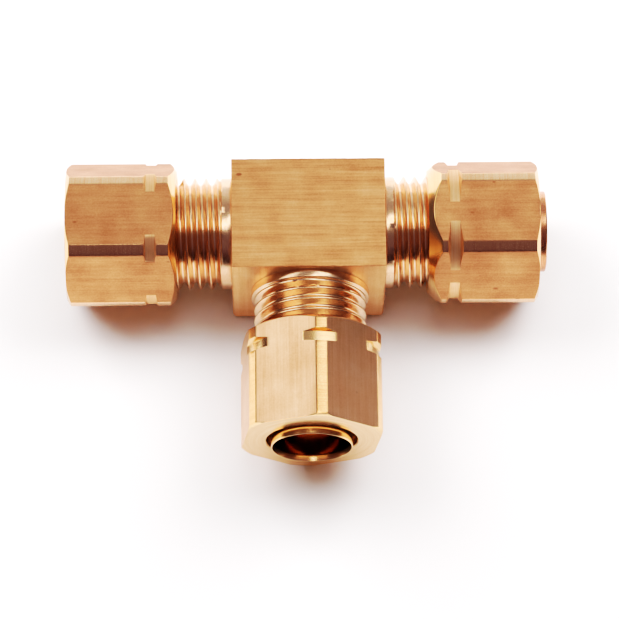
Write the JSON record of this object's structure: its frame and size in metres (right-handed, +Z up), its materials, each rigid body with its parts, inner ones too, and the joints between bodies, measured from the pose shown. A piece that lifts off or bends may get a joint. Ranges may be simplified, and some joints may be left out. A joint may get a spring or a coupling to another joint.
{
  "type": "flare fitting",
  "caption": "Brass union tee for flared tube: block body with three male threaded ends, notched hex nuts and loose flare sleeves.",
  "frame": {"origin": "where the run axis and the branch axis cross, in the middle of the block", "axes": "+X along the run to the right-hand end, the branch points along -Y, +Z up out of the sawn top face of the block"},
  "size_m": [0.0609, 0.0384, 0.0186],
  "materials": {
    "tee_body": "sawn and satin top and bottom faces, bright turned threads",
    "left_nut": "satin drawn hex flats, bright turned ends and notches",
    "right_nut": "satin drawn hex flats, bright turned ends and notches",
    "branch_nut": "satin drawn hex flats, bright turned ends and notches",
    "left_sleeve": "bright turned",
    "right_sleeve": "bright turned",
    "branch_sleeve": "bright turned"
  },
  "bodies": {
    "tee_body": {"tee_body": "tee_body"},
    "left_sleeve": {"left_sleeve": "left_sleeve"},
    "left_nut": {"left_nut": "left_nut"},
    "right_sleeve": {"right_sleeve": "right_sleeve"},
    "right_nut": {"right_nut": "right_nut"},
    "branch_sleeve": {"branch_sleeve": "branch_sleeve"},
    "branch_nut": {"branch_nut": "branch_nut"}
  },
  "joints": [
    {"name": "left_travel", "type": "slide", "parent": "tee_body", "child": "left_sleeve", "axis": [-1, 0, 0], "range_m": [-0.00059, 0.00297]},
    {"name": "left_nut_spin", "type": "hinge", "parent": "left_sleeve", "child": "left_nut", "pos_m": [0, 0, 0], "axis": [-1, 0, 0], "range_deg": [-150, 756]},
    {"name": "right_travel", "type": "slide", "parent": "tee_body", "child": "right_sleeve", "axis": [1, 0, 0], "range_m": [-0.0004, 0.00459]},
    {"name": "right_nut_spin", "type": "hinge", "parent": "right_sleeve", "child": "right_nut", "pos_m": [0, 0, 0], "axis": [1, 0, 0], "range_deg": [-100, 1170]},
    {"name": "branch_travel", "type": "slide", "parent": "tee_body", "child": "branch_sleeve", "axis": [0, -1, 0], "range_m": [-0.0004, 0.00459]},
    {"name": "branch_nut_spin", "type": "hinge", "parent": "branch_sleeve", "child": "branch_nut", "pos_m": [0, 0, 0], "axis": [0, -1, 0], "range_deg": [-100, 1170]}
  ],
  "couplings": [
    {"joint": "left_travel", "follows": "left_nut_spin", "m_per_rad": 0.00022459},
    {"joint": "right_travel", "follows": "right_nut_spin", "m_per_rad": 0.00022459},
    {"joint": "branch_travel", "follows": "branch_nut_spin", "m_per_rad": 0.00022459}
  ]
}
